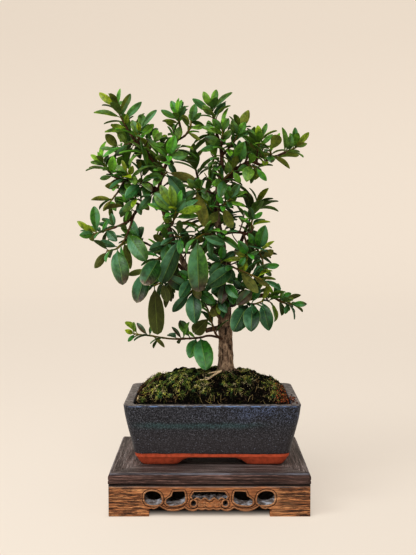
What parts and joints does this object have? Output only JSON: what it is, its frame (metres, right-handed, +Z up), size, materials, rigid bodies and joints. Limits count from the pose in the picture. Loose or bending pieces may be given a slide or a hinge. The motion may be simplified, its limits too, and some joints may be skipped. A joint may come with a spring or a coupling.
{
  "type": "potted bonsai tree",
  "caption": "Informal upright evergreen bonsai with glossy oval leaves, in a tapered rectangular glazed pot, on a low carved wooden stand.",
  "frame": {"origin": "on the ground under the middle of the outline of the tree, pot and stand together", "axes": "+Z up; -Y towards the front, the tree's chosen face; +X to the right seen from the front"},
  "size_m": [0.2124, 0.1368, 0.3765],
  "materials": {
    "stand_top": "dark stained, open grain, satin",
    "stand_apron": "brown, strong dark grain, waxed",
    "pot": "blue-black speckled glaze, bare red clay at the foot",
    "soil": "dark moist soil with moss",
    "bark": "rough grey-brown bark",
    "leaves": "glossy green leaves on brown twigs"
  },
  "bodies": {
    "root": {"stand_top_front": "stand_top", "stand_top_back": "stand_top", "stand_top_left": "stand_top", "stand_top_right": "stand_top", "stand_top_panel": "stand_top", "stand_apron_front": "stand_apron", "stand_apron_back": "stand_apron", "stand_apron_left": "stand_apron", "stand_apron_right": "stand_apron", "pot": "pot", "soil": "soil", "trunk_and_limbs": "bark", "spray_top_left": "leaves", "spray_upper_left_inner": "leaves", "spray_upper_left_right": "leaves", "spray_upper_left_outer": "leaves", "spray_left_tip": "leaves", "spray_left_under": "leaves", "spray_left_top": "leaves", "spray_left_inner": "leaves", "spray_far_left": "leaves", "spray_left_hanging": "leaves", "spray_front_left_hanging": "leaves", "spray_low_left_hanging": "leaves", "spray_front_long_leaf": "leaves", "spray_front_folded_leaf": "leaves", "spray_front_middle": "leaves", "spray_below_fork": "leaves", "spray_right_of_fork": "leaves", "spray_low_right_hanging": "leaves", "spray_low_right_tip": "leaves", "spray_right_young": "leaves", "spray_right_dark": "leaves", "spray_right_small": "leaves", "spray_middle_right": "leaves", "spray_upper_middle_under": "leaves", "spray_right_arm_under": "leaves", "spray_right_arm_crown": "leaves", "spray_right_arm_inner": "leaves", "spray_right_arm_outer": "leaves", "spray_right_tip": "leaves", "spray_top_right": "leaves", "spray_top_middle_front": "leaves", "spray_top_middle": "leaves", "spray_top_left_middle": "leaves", "spray_top_inner": "leaves", "spray_centre_left_crown": "leaves", "spray_centre_left_large": "leaves", "spray_centre_rosette": "leaves", "spray_centre_dark": "leaves", "spray_low_left": "leaves", "spray_red_stem": "leaves", "spray_far_right_middle": "leaves", "spray_far_right_low": "leaves", "spray_far_left_middle": "leaves", "spray_far_left_low": "leaves", "spray_far_centre_top": "leaves", "spray_far_centre": "leaves", "spray_far_top_right": "leaves", "spray_far_top_left": "leaves"}
  },
  "joints": []
}
